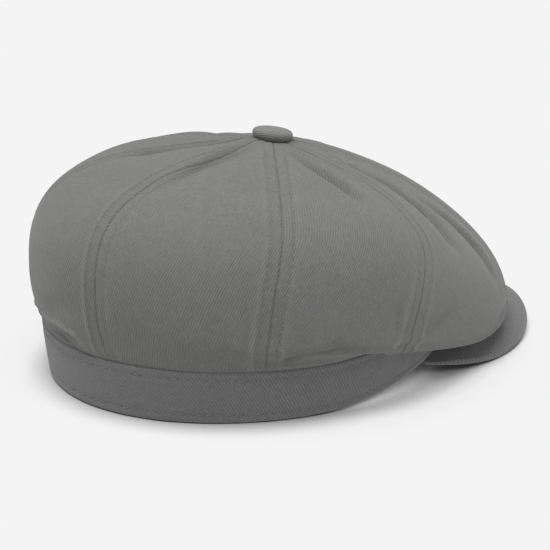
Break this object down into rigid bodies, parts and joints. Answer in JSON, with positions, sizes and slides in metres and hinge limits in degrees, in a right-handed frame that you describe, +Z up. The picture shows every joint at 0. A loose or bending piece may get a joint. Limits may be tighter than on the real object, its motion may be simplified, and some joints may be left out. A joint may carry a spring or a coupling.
{
  "type": "flat cap",
  "caption": "Soft cloth cap with a full panelled crown, a covered button, a standing head band and a short stiff peak that shades the eyes.",
  "frame": {"origin": "bottom centre of the cap's bounding box, on the surface that it stands on", "axes": "+Z up, the peak points along -Y, +X is the wearer's left"},
  "size_m": [0.204, 0.2638, 0.1115],
  "materials": {
    "crown_twill": "grey cotton twill, matt",
    "band_twill": "grey cotton twill, doubled and topstitched",
    "peak_twill": "grey cotton twill over a stiff board",
    "button_twill": "grey cotton twill over a domed button"
  },
  "bodies": {
    "root": {"crown_panel_1": "crown_twill", "crown_panel_2": "crown_twill", "crown_panel_3": "crown_twill", "crown_panel_4": "crown_twill", "crown_panel_5": "crown_twill", "crown_panel_6": "crown_twill", "crown_panel_7": "crown_twill", "crown_panel_8": "crown_twill", "band": "band_twill", "peak": "peak_twill", "button": "button_twill"}
  },
  "joints": []
}
